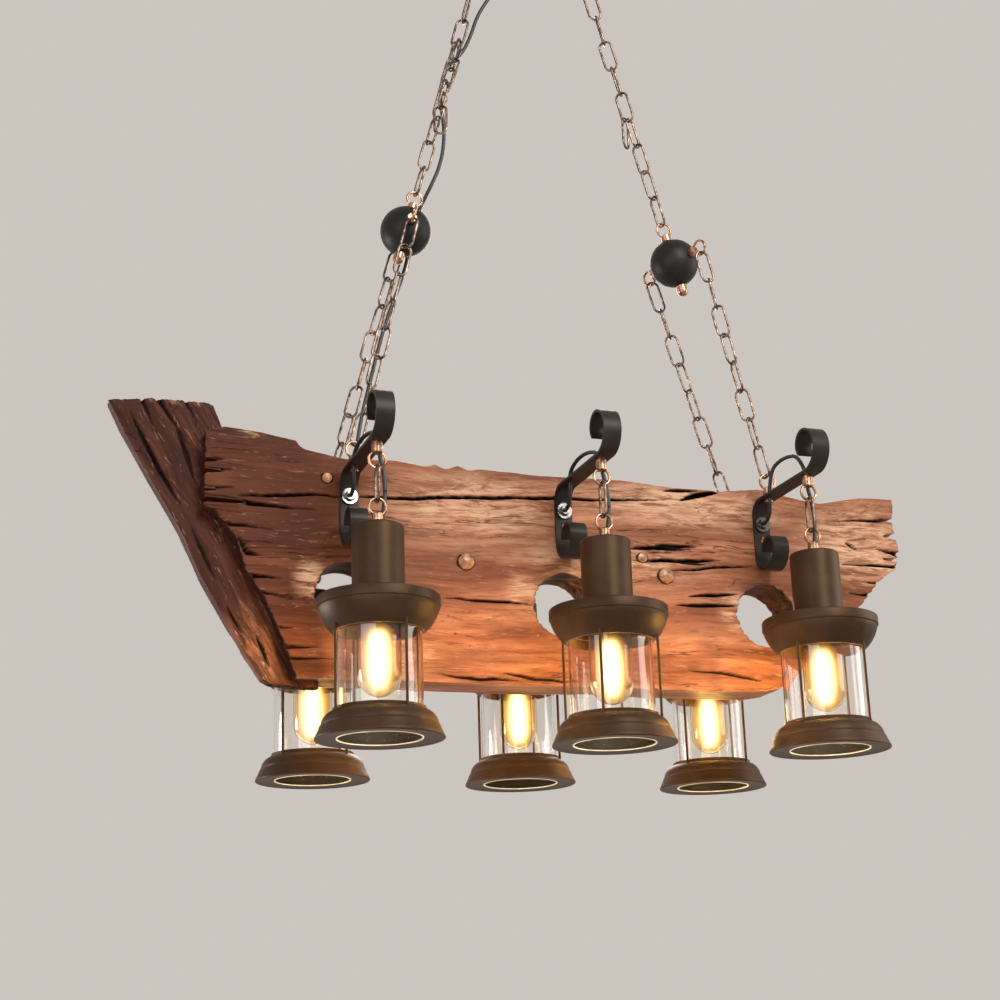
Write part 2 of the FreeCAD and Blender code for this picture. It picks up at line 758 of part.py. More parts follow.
def spare_chain(side, main, up):
    """The chain's spare end, which hangs close to it from one of its links."""
    carrier = main[spare_carriers[side]]
    outward = carrier.Placement.Rotation.multVec(V(0, 1, 0))
    if outward.y > 0:
        outward = outward * -1
    aside = outward.cross(up)
    if aside.x * side > 0:
        aside = aside * -1
    top = carrier.Placement.Base - up * (link_span / 2 - hooked - spare_lift) + aside * spare_aside
    links = []
    for k, (out_lean, side_lean) in enumerate(spare_leans[side]):
        away = outward * math.tan(math.radians(out_lean)) + aside * math.tan(math.radians(side_lean))
        along = (up - away).normalize()
        across = aside if k % 2 else outward
        links.append(placed(link_solid, top - along * (link_span / 2), along, across))
        top = top - along * link_pitch
    return links


# The ceiling canopy and what it holds
def canopy():
    """A spun dish, open at the ceiling, with holes for the hooks and the cord grip."""
    flat = canopy_radius - canopy_curve
    side = canopy_depth - canopy_curve
    bow = canopy_curve * math.sqrt(0.5)
    inner = canopy_curve - canopy_wall
    bend = inner * math.sqrt(0.5)
    dish = revolved((0, -canopy_depth), [
        (flat, -canopy_depth), (flat + bow, -side - bow, canopy_radius, -side), (canopy_radius, 0),
        (canopy_radius - canopy_wall, 0), (canopy_radius - canopy_wall, -side),
        (flat + bend, -side - bend, flat, canopy_wall - canopy_depth), (0, canopy_wall - canopy_depth)])
    down = V(0, 0, -2 * canopy_depth)
    for side in (-1, 1):
        stud = V(hook_ring(side).x, 0, 0)
        dish = dish.cut(rod(stud, stud + down, stud_radius + stud_fit))
    grip = V(grip_column, 0, 0)
    return dish.cut(rod(grip, grip + down, grip_radius - grip_flange + stud_fit))


def mounting_bar():
    """The steel bar that is screwed to the ceiling and carries both hooks."""
    reach = hook_ring(1).x + bar_margin
    bar = Part.makeBox(2 * reach, bar_width, bar_thickness, V(-reach, -bar_width / 2, -bar_thickness))
    for side in (-1, 1):
        for x, radius in ((side * ceiling_screw_spacing / 2, ceiling_screw_hole_radius),
                          (hook_ring(side).x, stud_radius + stud_fit)):
            bar = bar.cut(rod(V(x, 0, -2 * bar_thickness), V(x, 0, bar_thickness), radius))
    return bar


def ceiling_hooks():
    """Ringed hooks whose studs pass the canopy and screw into the bar, each with a nut under the bar."""
    pieces = []
    for side in (-1, 1):
        seat = V(hook_ring(side).x, 0, -canopy_depth)
        pieces.append(placed(eye(hook_reach, canopy_depth), seat, -UP, V(1, 0, 0)))
        under = V(seat.x, 0, -bar_thickness)
        nut = rod(under, under - UP * hook_nut_height, stud_nut_radius)
        pieces.append(nut.cut(rod(under, under - UP * hook_nut_height, stud_radius)))
    return pieces


def cord_grip():
    """The bush that the supply cord leaves the canopy by; it reaches down to the sway axis."""
    bore = supply_radius + lead_fit
    stem = grip_radius - grip_flange
    foot = sway_height - ceiling_height
    body = revolved((bore, canopy_wall - canopy_depth + grip_flange), [
        (stem, canopy_wall - canopy_depth + grip_flange), (stem, -canopy_depth), (grip_radius, -canopy_depth),
        (grip_radius, -canopy_depth - grip_flange), (bore + grip_tip_wall, foot), (bore, foot)])
    return moved(body, V(grip_column, 0, 0))


# Heights that need the chain's geometry
sway_height = (hook_ring(1) - chain_frame(1)[1] * ring_radius).z
ceiling_height = hook_ring(1).z + hook_reach + canopy_depth


def save(node, pieces, at_ceiling=False):
    solids = [solid for piece in pieces for solid in piece.Solids]
    shape = solids[0] if len(solids) == 1 else Part.Compound(solids)
    if not at_ceiling:
        shape = moved(shape, V(0, 0, -ceiling_height))
    shape.exportStep(f"parts/{node}.step")


os.makedirs("parts", exist_ok=True)

save("canopy", [canopy()], at_ceiling=True)
save("mounting_bar", [mounting_bar()], at_ceiling=True)
save("ceiling_hooks", ceiling_hooks(), at_ceiling=True)
save("cord_grip", [cord_grip()], at_ceiling=True)

balls, eyes, links = suspension()
save("balls", balls)
save("chain_eyes", eyes)
save("chains", links)

save("board", [board()])
save("stem", [profile_prism(stem_outline(), stem_thickness)])
all_pegs = [peg(x, z, peg_radius, peg_crown) for x, z in pegs_at]
all_pegs += [peg(x, z, small_peg_radius, small_peg_crown) for x, z in small_pegs_at]
save("pegs", all_pegs)

end_brackets = at_stations(drilled_bracket(True), (-1, 1))
middle_brackets = at_stations(drilled_bracket(False), (0,))
save("brackets", end_brackets + middle_brackets)
save("bracket_screws", at_stations(bracket_screw()))
save("glands", at_stations(gland()))
save("arm_loops", [piece for part in arm_loop() for piece in at_stations(part)])

leads = []
for row, side in rows:
    for name, column in columns:
        solid = tube(lead_route(loop_rises[f"{row}_{name}"]), lead_diameter, f"{row} {name} lead")
        leads.append(moved(turned(solid, 90 * (side + 1)), V(column * column_pitch, 0, 0)))
save("leads", leads)
save("supply_cord", [tube(supply_route(), supply_diameter, "supply cord")])

for row, side in rows:
    for name, column in columns:
        station = f"{row}_{name}"
        place = V(column * column_pitch, side * row_offset, 0)
        guard = guard_turns[station]
        cap = turned(lead_entry(turned(lantern_cap(), guard)), 90 * (side + 1))
        save(f"{station}_cap", [moved(cap, place)])
        save(f"{station}_base", [moved(turned(lantern_base(), guard), place)])
        save(f"{station}_guard_rods", [moved(turned(guard_rods(), guard), place)])
        save(f"{station}_glass", [moved(glass_tube(), place)])
        save(f"{station}_lampholder", [moved(lampholder(), place)])
        save(f"{station}_bulb", [moved(bulb(), place)])
        middle = place + UP * (lantern_pivot + link_span / 2)
        save(f"{station}_link", [placed(link_solid, middle, UP, V(0, 1, 0))])
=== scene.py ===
import math

import bmesh
import bpy
import numpy as np
from mathutils import Matrix, Vector, noise


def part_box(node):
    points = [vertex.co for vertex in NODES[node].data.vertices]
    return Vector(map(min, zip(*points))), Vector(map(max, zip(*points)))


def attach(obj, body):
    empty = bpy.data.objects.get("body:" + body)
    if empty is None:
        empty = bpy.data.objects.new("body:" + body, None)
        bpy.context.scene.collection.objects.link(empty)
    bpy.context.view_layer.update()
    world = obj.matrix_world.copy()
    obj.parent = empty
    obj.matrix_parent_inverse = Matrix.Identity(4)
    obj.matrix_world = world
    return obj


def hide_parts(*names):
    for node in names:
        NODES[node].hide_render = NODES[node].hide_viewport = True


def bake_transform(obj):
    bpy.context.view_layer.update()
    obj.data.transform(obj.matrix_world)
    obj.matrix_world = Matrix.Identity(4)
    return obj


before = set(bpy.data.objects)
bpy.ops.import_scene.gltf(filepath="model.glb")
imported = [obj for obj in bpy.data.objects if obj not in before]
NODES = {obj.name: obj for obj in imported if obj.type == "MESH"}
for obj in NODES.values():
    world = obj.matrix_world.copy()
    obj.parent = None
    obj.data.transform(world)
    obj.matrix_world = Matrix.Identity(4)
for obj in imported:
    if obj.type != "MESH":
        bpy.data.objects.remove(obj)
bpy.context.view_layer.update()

# Sizes are in millimetres, and heights count up from the lanterns' feet; FEET itself is in metres
MM = 0.001
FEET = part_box("near_middle_base")[0].z
COLUMN_PITCH = 250
ROW_REACH = 146
COLUMNS = (("left", -COLUMN_PITCH), ("middle", 0), ("right", COLUMN_PITCH))
ROWS = (("near", -ROW_REACH), ("far", ROW_REACH))
STATIONS = [(f"{row}_{column}", x, y) for row, y in ROWS for column, x in COLUMNS]


def at(x, y, z):
    """A place in the part's frame, in metres."""
    return Vector((x * MM, y * MM, z * MM + FEET))


# Meshes
MERGE_METRES = 1e-7
CRISP_DEGREES = 28
SPLINE_STEPS = 8


def piece(name, verts, faces, material, smooth=True):
    mesh = bpy.data.meshes.new(name)
    mesh.from_pydata([tuple(v) for v in verts], [], faces)
    mesh.update()
    obj = bpy.data.objects.new(name, mesh)
    bpy.context.scene.collection.objects.link(obj)
    mesh.materials.append(material)
    if smooth:
        mesh.shade_smooth()
    return obj


def lathe(name, profile, centre, material, steps=48, crisp=False):
    """A turned skin through (radius, height) points; a radius of 0 closes an end, crisp keeps corners."""
    verts, faces, rings = [], [], []
    for radius, height in profile:
        count = 1 if radius == 0 else steps
        rings.append(range(len(verts), len(verts) + count))
        for k in range(count):
            angle = 2 * math.pi * k / steps
            x = centre[0] + radius * math.cos(angle)
            y = centre[1] + radius * math.sin(angle)
            verts.append(at(x, y, height))
    for low, high in zip(rings, rings[1:]):
        for k in range(steps):
            lower = [low[j % len(low)] for j in (k, k + 1)]
            upper = [high[j % len(high)] for j in (k + 1, k)]
            corners = list(dict.fromkeys(lower + upper))
            if len(corners) > 2:
                faces.append(corners)
    turned = piece(name, verts, faces, material)
    shape = bmesh.new()
    shape.from_mesh(turned.data)
    bmesh.ops.remove_doubles(shape, verts=shape.verts, dist=MERGE_METRES)
    bmesh.ops.recalc_face_normals(shape, faces=shape.faces)
    shape.to_mesh(turned.data)
    shape.free()
    if crisp:
        turned.data.set_sharp_from_angle(angle=math.radians(CRISP_DEGREES))
    return turned


def arc(middle, reach, first, last, steps=4):
    """Profile points round a middle, with a reach across and up, between two angles in degrees."""
    angles = np.radians(np.linspace(first, last, steps + 1))
    return [(middle[0] + reach[0] * math.cos(a), middle[1] + reach[1] * math.sin(a)) for a in angles]


def smooth_line(points):
    """Points along the smooth spline that has the given points as its control points."""
    curve = bpy.data.curves.new("route", "CURVE")
    curve.dimensions = "3D"
    spline = curve.splines.new("NURBS")
    spline.points.add(len(points) - 1)
    for handle, point in zip(spline.points, points):
        handle.co = (*point, 1)
    spline.order_u = 3
    spline.use_endpoint_u = True
    spline.resolution_u = SPLINE_STEPS
    holder = bpy.data.objects.new("route", curve)
    line = bpy.data.meshes.new_from_object(holder)
    found = [v.co.copy() for v in line.vertices]
    bpy.data.objects.remove(holder)
    return found


def tube(name, line, radius, material, sides=14):
    """A round cord along a line of points, with a frame that is carried along without twist."""
    verts, faces = [], []
    across = None
    for k, point in enumerate(line):
        along = (line[min(k + 1, len(line) - 1)] - line[max(k - 1, 0)]).normalized()
        if across is None:
            across = along.orthogonal().normalized()
        across = (across - along * across.dot(along)).normalized()
        other = along.cross(across)
        for j in range(sides):
            angle = 2 * math.pi * j / sides
            verts.append(point + (across * math.cos(angle) + other * math.sin(angle)) * radius)
    for k in range(len(line) - 1):
        for j in range(sides):
            a, b = k * sides + j, k * sides + (j + 1) % sides
            faces.append([a, b, b + sides, a + sides])
    faces.append(list(range(sides))[::-1])
    faces.append(list(range(len(verts) - sides, len(verts))))
    return piece(name, verts, faces, material)


# Materials
class Look:
    """A node material: calls add nodes, and sockets given as inputs are linked."""

    SOCKETS = {"color": "Base Color", "metallic": "Metallic", "roughness": "Roughness", "normal": "Normal",
               "ior": "IOR", "transmission": "Transmission Weight", "coat": "Coat Weight",
               "specular": "Specular IOR Level", "specular_tint": "Specular Tint", "alpha": "Alpha",
               "emission": "Emission Color", "glow": "Emission Strength"}
    # The mix node has sockets for numbers, vectors and colours, and these are the colours' places
    MIX_COLORS = (6, 7)
    MIX_RESULT = 2

    def __init__(self, name):
        self.material = bpy.data.materials.new(name)
        self.material.use_nodes = True
        self.tree = self.material.node_tree
        self.shader = self.tree.nodes["Principled BSDF"]
        self.place = self.add("ShaderNodeTexCoord").outputs["Object"]

    def add(self, kind, inputs=None, **settings):
        node = self.tree.nodes.new(kind)
        for key, value in settings.items():
            setattr(node, key, value)
        for key, value in (inputs or {}).items():
            self.put(node.inputs[key], value)
        return node

    def put(self, socket, value):
        if isinstance(value, bpy.types.NodeSocket):
            self.tree.links.new(value, socket)
        else:
            socket.default_value = value

    def set(self, **values):
        for key, value in values.items():
            self.put(self.shader.inputs[self.SOCKETS[key]], value)

    def noise(self, scale, detail, roughness=0.55, distortion=0.0, place=None):
        """Cloudy noise; scale is in cells per metre, one number or one for each axis."""
        scales = scale if isinstance(scale, tuple) else (scale,) * 3
        mapped = self.add("ShaderNodeMapping", {"Vector": place or self.place, "Scale": scales})
        inputs = {"Vector": mapped.outputs[0], "Scale": 1.0, "Detail": detail, "Roughness": roughness,
                  "Distortion": distortion}
        return self.add("ShaderNodeTexNoise", inputs).outputs["Fac"]

    def ramp(self, factor, *stops):
        """Colours at positions from 0 to 1."""
        node = self.add("ShaderNodeValToRGB", {"Fac": factor})
        points = node.color_ramp.elements
        while len(points) < len(stops):
            points.new(0.5)
        for point, (position, color) in zip(points, stops):
            point.position = position
            point.color = (*color, 1)
        return node.outputs["Color"]

    def mask(self, factor, low, high):
        """0 at low and 1 at high, smoothly; low may be above high."""
        return self.add("ShaderNodeMapRange", {"Value": factor, "From Min": low, "From Max": high},
                        interpolation_type="SMOOTHSTEP").outputs[0]

    def range(self, factor, low, high):
        """A factor from 0 to 1 spread from low to high."""
        return self.add("ShaderNodeMapRange", {"Value": factor, "To Min": low, "To Max": high}).outputs[0]

    def mix(self, factor, first, second):
        node = self.add("ShaderNodeMix", {"Factor": factor}, data_type="RGBA")
        for index, value in zip(self.MIX_COLORS, (first, second)):
            self.put(node.inputs[index], (*value, 1) if isinstance(value, tuple) else value)
        return node.outputs[self.MIX_RESULT]

    def math(self, operation, first, second=0.0):
        return self.add("ShaderNodeMath", {0: first, 1: second}, operation=operation).outputs[0]

    def times(self, first, second):
        return self.math("MULTIPLY", first, second)

    def axis(self, name):
        return self.add("ShaderNodeSeparateXYZ", {"Vector": self.place}).outputs[name]

    def bump(self, height, depth, strength):
        inputs = {"Height": height, "Distance": depth * MM, "Strength": strength}
        return self.add("ShaderNodeBump", inputs).outputs[0]

    def attribute(self, name):
        return self.add("ShaderNodeAttribute", attribute_name=name).outputs["Fac"]

    def blob(self, x, z, half_width, half_height):
        """1 in the middle of an oval on the XZ plane and 0 outside it."""
        middle = at(x, 0, z)
        scale = (1 / (half_width * MM), 0, 1 / (half_height * MM))
        shift = (-middle.x * scale[0], 0, -middle.z * scale[2])
        mapped = self.add("ShaderNodeMapping", {"Vector": self.place, "Scale": scale, "Location": shift})
        away = self.add("ShaderNodeVectorMath", {0: mapped.outputs[0]}, operation="LENGTH").outputs["Value"]
        return self.mask(away, 1.0, 0.25)

    def blobs(self, zones):
        """1 in the middle of any of the ovals."""
        found = 0.0
        for zone in zones:
            found = self.math("MAXIMUM", found, self.blob(*zone))
        return found


WORN_SHARE = 0.35
WORN_GAIN = 1.9


def coated_iron(name, dark, light, rough, sheen=(1.0, 1.0, 1.0)):
    """Matt coated iron: cloudy tone, fine grain and a soft sheen of a given colour."""
    look = Look(name)
    cloud = look.noise(28, 5)
    grain = look.noise(1400, 2)
    worn = look.mask(look.noise((90, 90, 30), 6, 0.7), 0.62, 0.74)
    coat = look.ramp(cloud, (0.3, dark), (0.7, light))
    tone = look.mix(look.times(worn, WORN_SHARE), coat, tuple(WORN_GAIN * c for c in light))
    look.set(color=tone, metallic=0.2, roughness=look.range(cloud, *rough), specular=0.2,
             specular_tint=(*sheen, 1), normal=look.bump(grain, 0.03, 0.5))
    return look.material


def old_brass(name, dark, light, rough):
    """Aged brass: brown patina with polished places."""
    look = Look(name)
    patina = look.noise(140, 6, 0.65)
    fine = look.noise(900, 3)
    between = tuple((a + b) / 2 for a, b in zip(dark, light))
    tone = look.ramp(patina, (0.34, dark), (0.52, between), (0.66, light))
    look.set(color=tone, metallic=1.0, roughness=look.range(patina, *rough),
             normal=look.bump(fine, 0.06, 0.5))
    return look.material


def chrome():
    look = Look("chrome")
    smear = look.noise(260, 3)
    look.set(color=look.ramp(smear, (0.3, (0.12, 0.115, 0.11)), (0.7, (0.28, 0.27, 0.26))), metallic=1.0,
             roughness=look.range(smear, 0.14, 0.26), normal=look.bump(smear, 0.05, 0.4))
    return look.material


def zinc():
    look = Look("zinc")
    spangle = look.noise(120, 2, 0.4, 1.0)
    look.set(color=look.ramp(spangle, (0.35, (0.3, 0.3, 0.31)), (0.65, (0.55, 0.56, 0.57))), metallic=0.9,
             roughness=look.range(spangle, 0.3, 0.5), normal=look.bump(spangle, 0.1, 0.4))
    return look.material


def cord_skin():
    look = Look("cord_skin")
    grain = look.noise(700, 3)
    look.set(color=look.ramp(grain, (0.35, (0.006, 0.006, 0.006)), (0.7, (0.02, 0.019, 0.018))),
             roughness=look.range(grain, 0.38, 0.55), normal=look.bump(grain, 0.1, 0.5))
    return look.material


def clear_glass(name, tint, waviness):
    look = Look(name)
    wave = look.noise((30, 30, 12), 2)
    look.set(color=(*tint, 1), roughness=0.0, ior=1.47, transmission=1.0, specular=0.5,
             normal=look.bump(wave, waviness, 0.5))
    return look.material


def painted_glow_edge():
    """The lower edge of a glass, with a painted glow that stands for the lamp's light running down the
    glass.
    """
    look = Look("painted_glow_glass_edge")
    tone = look.noise((40, 40, 40), 3)
    shade = look.ramp(tone, (0.35, (0.55, 0.36, 0.16)), (0.65, (1.0, 0.84, 0.58)))
    # The emission is painted light: the glass edge is no lamp
    look.set(color=(0.4, 0.36, 0.3, 1), emission=shade, glow=0.75, roughness=0.2)
    return look.material


def glow(name, color, strength, opacity):
    """A glowing skin that may be partly see-through, so that layers of it add up to a soft light."""
    look = Look(name)
    tone = look.noise((60, 60, 25), 3)
    shade = look.ramp(tone, (0.3, tuple(0.85 * c for c in color)), (0.7, color))
    look.set(color=(0, 0, 0, 1), emission=shade, glow=strength, alpha=opacity, roughness=1.0, specular=0.0)
    return look.material


# Where a wood's four tones, from dark to pale, lie in its bands of grain
TONE_STEPS = (0.30, 0.47, 0.62, 0.80)
RUBBED = (0.60, 0.40, 0.24)
CHIPPED = (0.58, 0.37, 0.22)
BARK = ((0.40, (0.012, 0.007, 0.005)), (0.55, (0.09, 0.04, 0.018)), (0.66, (0.36, 0.20, 0.09)))
# Near black for end grain, partly its own colour and partly painted shade, and for painted shade in the
# holes' bores
END_GRAIN_AND_PAINTED_SHADE = (0.022, 0.010, 0.006)
# Colour of the painted shade in cracks
CRACK_SHADE_COLOUR = (0.008, 0.004, 0.003)
GRAIN_SWAY_METRES = 0.02


def aged_wood(name, along, tones, redder_between, pale_zones, bark_zones):
    """Weathered wood with its grain along a direction; cracks, edges and end grain come from the mesh, and
    so do the painted shade in cracks and bores and a darkening of end grain that is partly painted shade.
    """
    look = Look(name)
    turn = Vector((1, 0, 0)).rotation_difference(along).inverted().to_euler()
    turned = look.add("ShaderNodeMapping", {"Vector": look.place, "Rotation": turn}).outputs[0]
    warp = look.add("ShaderNodeTexNoise", {"Vector": turned, "Scale": 7.0, "Detail": 2.0})
    sway = look.add("ShaderNodeVectorMath", {0: warp.outputs["Color"], "Scale": GRAIN_SWAY_METRES},
                    operation="SCALE")
    fibre = look.add("ShaderNodeVectorMath", {0: turned, 1: sway.outputs[0]}, operation="ADD").outputs[0]

    bands = look.noise((4, 48, 48), 8, 0.66, 0.5, fibre)
    streaks = look.noise((22, 420, 420), 4, 0.6, 0.2, fibre)
    patches = look.noise((5, 16, 16), 4, 0.55, 0.0, fibre)
    flecks = look.noise((55, 330, 330), 4, 0.6, 0.4, fibre)
    scuffs = look.noise((26, 150, 150), 5, 0.65, 0.8, fibre)
    fissures = look.noise((3.0, 46, 46), 5, 0.55, 0.8, fibre)

    shades = [look.ramp(bands, *zip(TONE_STEPS, shade)) for shade in tones]
    tone = look.mix(look.mask(look.axis("X"), *redder_between), *shades)
    dark, _, light, pale = tones[0]
    tone = look.mix(look.times(look.mask(patches, 0.58, 0.38), 0.5), tone, dark)
    worn = look.blobs(pale_zones)
    rubbed = look.ramp(bands, (0.3, light), (0.55, pale), (0.75, RUBBED))
    tone = look.mix(look.times(worn, look.mask(scuffs, 0.36, 0.62)), tone, rubbed)
    chip_share = look.math("ADD", 0.22, look.times(worn, 0.7))
    tone = look.mix(look.times(look.mask(flecks, 0.60, 0.70), chip_share), tone, CHIPPED)
    tone = look.mix(look.times(look.mask(streaks, 0.46, 0.30), 0.6), tone, dark)
    tone = look.mix(look.blobs(bark_zones), tone, look.ramp(scuffs, *BARK))
    # Hairline fissures: thin lines of painted shade, with a slight dent in the relief
    line = look.mask(look.math("ABSOLUTE", look.math("SUBTRACT", fissures, 0.5)), 0.007, 0.0)
    line = look.times(line, look.mask(patches, 0.42, 0.55))
    tone = look.mix(look.times(look.attribute("edge"), 0.45), tone, pale)
    # End grain darkens nearly to black, partly its own colour and partly painted shade, and the holes'
    # bores take painted shade
    tone = look.mix(look.attribute("end"), tone, END_GRAIN_AND_PAINTED_SHADE)
    # Cracks and fissures take painted shade, darkest where the cut is deepest
    painted_gap_shade = look.math("MAXIMUM", look.times(line, 0.85), look.attribute("painted_crack_shade"))
    tone = look.mix(painted_gap_shade, tone, CRACK_SHADE_COLOUR)

    relief = look.math("ADD", look.times(bands, 0.35), look.times(streaks, 0.25))
    relief = look.math("ADD", relief, look.times(scuffs, 0.3))
    relief = look.math("SUBTRACT", relief, look.times(line, 0.5))
    look.set(color=tone, roughness=look.range(scuffs, 0.66, 0.46), specular=0.1,
             normal=look.bump(relief, 1.5, 0.8))
    return look.material


def peg_wood():
    look = Look("peg_wood")
    rings = look.noise((160, 60, 160), 5, 0.6, 0.5)
    tone = look.ramp(rings, (0.3, (0.10, 0.035, 0.015)), (0.5, (0.30, 0.12, 0.045)),
                     (0.72, (0.47, 0.24, 0.10)))
    look.set(color=tone, roughness=look.range(rings, 0.3, 0.5), normal=look.bump(rings, 0.5, 0.6), coat=0.2)
    return look.material


BRONZE_SHEEN = (1.0, 0.70, 0.45)
IRON = coated_iron("coated_iron", (0.026, 0.0142, 0.0084), (0.050, 0.0270, 0.0160), (0.38, 0.52),
                   BRONZE_SHEEN)
BLACK = coated_iron("black_iron", (0.010, 0.009, 0.0085), (0.020, 0.018, 0.017), (0.40, 0.55))
STRAP = coated_iron("strap_iron", (0.014, 0.011, 0.009), (0.030, 0.023, 0.018), (0.38, 0.52))
CHAIN = old_brass("chain_brass", (0.030, 0.023, 0.019), (0.34, 0.245, 0.185), (0.44, 0.24))
BRASS = old_brass("fitting_brass", (0.08, 0.034, 0.019), (0.68, 0.39, 0.25), (0.40, 0.20))
CHROME = chrome()
ZINC = zinc()
CORD = cord_skin()
GLASS = clear_glass("lantern_glass", (1.0, 0.985, 0.96), 0.25)
ENVELOPE = clear_glass("bulb_glass", (1.0, 0.86, 0.58), 0.1)

# Tones of the wood, from dark to pale
BROWN = ((0.095, 0.030, 0.015), (0.260, 0.092, 0.046), (0.415, 0.178, 0.098), (0.560, 0.328, 0.208))
RED_BROWN = ((0.024, 0.006, 0.003), (0.070, 0.018, 0.008), (0.118, 0.034, 0.016), (0.215, 0.078, 0.039))
DARK_RED = ((0.014, 0.004, 0.002), (0.044, 0.012, 0.006), (0.088, 0.027, 0.014), (0.180, 0.068, 0.036))
# Ovals on the wood's faces: x, height, half width and half height
BOARD_PALE = ((-95, 285, 150, 52), (150, 302, 190, 42), (385, 268, 110, 75), (-50, 190, 30, 34),
              (208, 182, 26, 34), (-292, 190, 26, 30), (60, 230, 160, 40), (-190, 110, 60, 30))
BOARD_BARK = ((-352, 353, 62, 12),)
STEM_PALE = ((-350, 120, 50, 60),)
STEM_BARK = ((-430, 388, 70, 7),)
# Between these places along X, in metres, the second set of tones takes over from the first
BOARD_REDDENS = (-0.16, -0.32)
STEM_REDDENS = (-0.30, -0.36)
BOARD_GRAIN = Vector((1, 0, 0))
BOARD_STREAKS = Vector((1, 0, 0.015))
STEM_GRAIN = Vector((0.53, 0, -0.848))
BOARD_WOOD = aged_wood("board_wood", BOARD_STREAKS, (BROWN, RED_BROWN), BOARD_REDDENS, BOARD_PALE,
                       BOARD_BARK)
STEM_WOOD = aged_wood("stem_wood", STEM_GRAIN, (RED_BROWN, DARK_RED), STEM_REDDENS, STEM_PALE, STEM_BARK)
PEG_WOOD = peg_wood()
# A painted glow for the lower edges of the glasses
PAINTED_GLOW_EDGE = painted_glow_edge()


# Nodes that keep their shape
FINISHES = {"canopy": IRON, "mounting_bar": ZINC, "ceiling_hooks": BRASS, "cord_grip": BLACK,
            "brackets": STRAP, "bracket_screws": BRASS, "glands": CHROME, "arm_loops": BRASS,
            "chains": CHAIN, "balls": BLACK, "chain_eyes": BRASS, "pegs": PEG_WOOD}


def dress(node, material):
    """A node keeps its shape and takes a material."""
    obj = NODES[node]
    obj.data.materials.clear()
    obj.data.materials.append(material)
    return obj


def dress_nodes():
    for node, material in FINISHES.items():
        dress(node, material)
    for name, _, _ in STATIONS:
        dress(f"{name}_lampholder", BRASS)
        dress(f"{name}_link", CHAIN)
        glass = dress(f"{name}_glass", GLASS)
        glass.visible_shadow = False
        glass.visible_diffuse = False


# Cords, along the same routes as the solid tubes
ARM = 311.5
GLAND = 285.0
NECK_TOP = 219.3
LINK_MIDDLE = 262.0
CORD_RADIUS = 2.3
# The row in which a near lead goes down beside its link
LEAD_ROW = -134
LOOP_RISES = {"near_left": 24.0, "near_middle": 22.0, "near_right": 37.0,
              "far_left": 28.0, "far_middle": 22.0, "far_right": 31.0}


def lead_route(rise):
    """A near lead's points, from the middle of its column."""
    top = ARM + rise
    return [(0, -30, GLAND), (0, -43, GLAND), (-1.2, -54, GLAND + 7), (-2.8, -60, ARM - 8.5),
            (-3.2, -61.5, ARM + 7), (-2.5, -69.5, top - 7.5), (0, -82, top - 1.5), (3.5, -98, top),
            (6, -116, top - 4.5), (5.2, LEAD_ROW, ARM + 8), (5.5, LEAD_ROW, ARM - 9),
            (9.3, LEAD_ROW, ARM - 26), (11.8, LEAD_ROW, ARM - 44), (10.8, LEAD_ROW, NECK_TOP + 28),
            (8, LEAD_ROW, NECK_TOP + 11), (7.7, LEAD_ROW, NECK_TOP - 6)]


def leads():
    """Each lead is two tubes that meet beside the link: one runs from the arm, one down to the lantern."""
    for name, column, row in STATIONS:
        side = 1 if row < 0 else -1
        route = lead_route(LOOP_RISES[name])
        line = smooth_line([at(column + side * x, side * y, z) for x, y, z in route])
        middle = at(column, row, LINK_MIDDLE)
        split = next(k for k, p in enumerate(line) if k > len(line) / 2 and p.z < middle.z)
        upper = tube(f"{name}_lead_upper", line[:split + 1], CORD_RADIUS * MM, CORD)
        lower = tube(f"{name}_lead_lower", line[split:], CORD_RADIUS * MM, CORD)
        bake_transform(upper)
        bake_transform(lower)
        for part in (upper, lower):
            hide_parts("leads")


CHAIN_LEAN = 14.8
LEFT_HOOK = Vector((-64.67, 0, 1032.95))
HOOK_TO_BALL = 421.5
CORD_GRIP = Vector((-25, 0, 1023.65))
# The supply cord's points: below the grip, then down the chain and aside from it, round the ball, and down
BELOW_GRIP = ((0, 0, 0), (-6, 3, -19), (-17, 7, -38), (-31, 11, -57))
DOWN_CHAIN = ((92, 17.5), (122, 16.4), (150, 12.2), (176, -1.6), (202, -3.7), (230, 1.6), (258, 13.3),
              (286, 19.6), (314, 21.2), (342, 17.5))
BEHIND_CHAIN = Vector((0, 13.5, 0))
ROUND_BALL = ((21, 32, 36), (16, 38, 6), (10, 34, -26), (-2, 25, -60), (-20, 18, -106), (-33, 13, -152),
              (-45, 8, -198), (-55, 3, -236))
INTO_BOARD = ((-235, 0, 345), (-235.1, 0, 303))


def supply_cord():
    """The supply cord, from the ceiling grip behind the left chain and ball to the board."""
    lean = math.radians(CHAIN_LEAN)
    up = Vector((math.sin(lean), 0, math.cos(lean)))
    beside = Vector((up.z, 0, -up.x))
    ball = LEFT_HOOK - up * HOOK_TO_BALL
    points = [CORD_GRIP + Vector(p) for p in BELOW_GRIP]
    points += [LEFT_HOOK - up * down + beside * aside + BEHIND_CHAIN for down, aside in DOWN_CHAIN]
    points += [ball + Vector(p) for p in ROUND_BALL]
    points += [Vector(p) for p in INTO_BOARD]
    cord = tube("supply_cord_skin", smooth_line([at(*p) for p in points]), CORD_RADIUS * MM, CORD)
    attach(cord, "pendant")
    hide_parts("supply_cord")


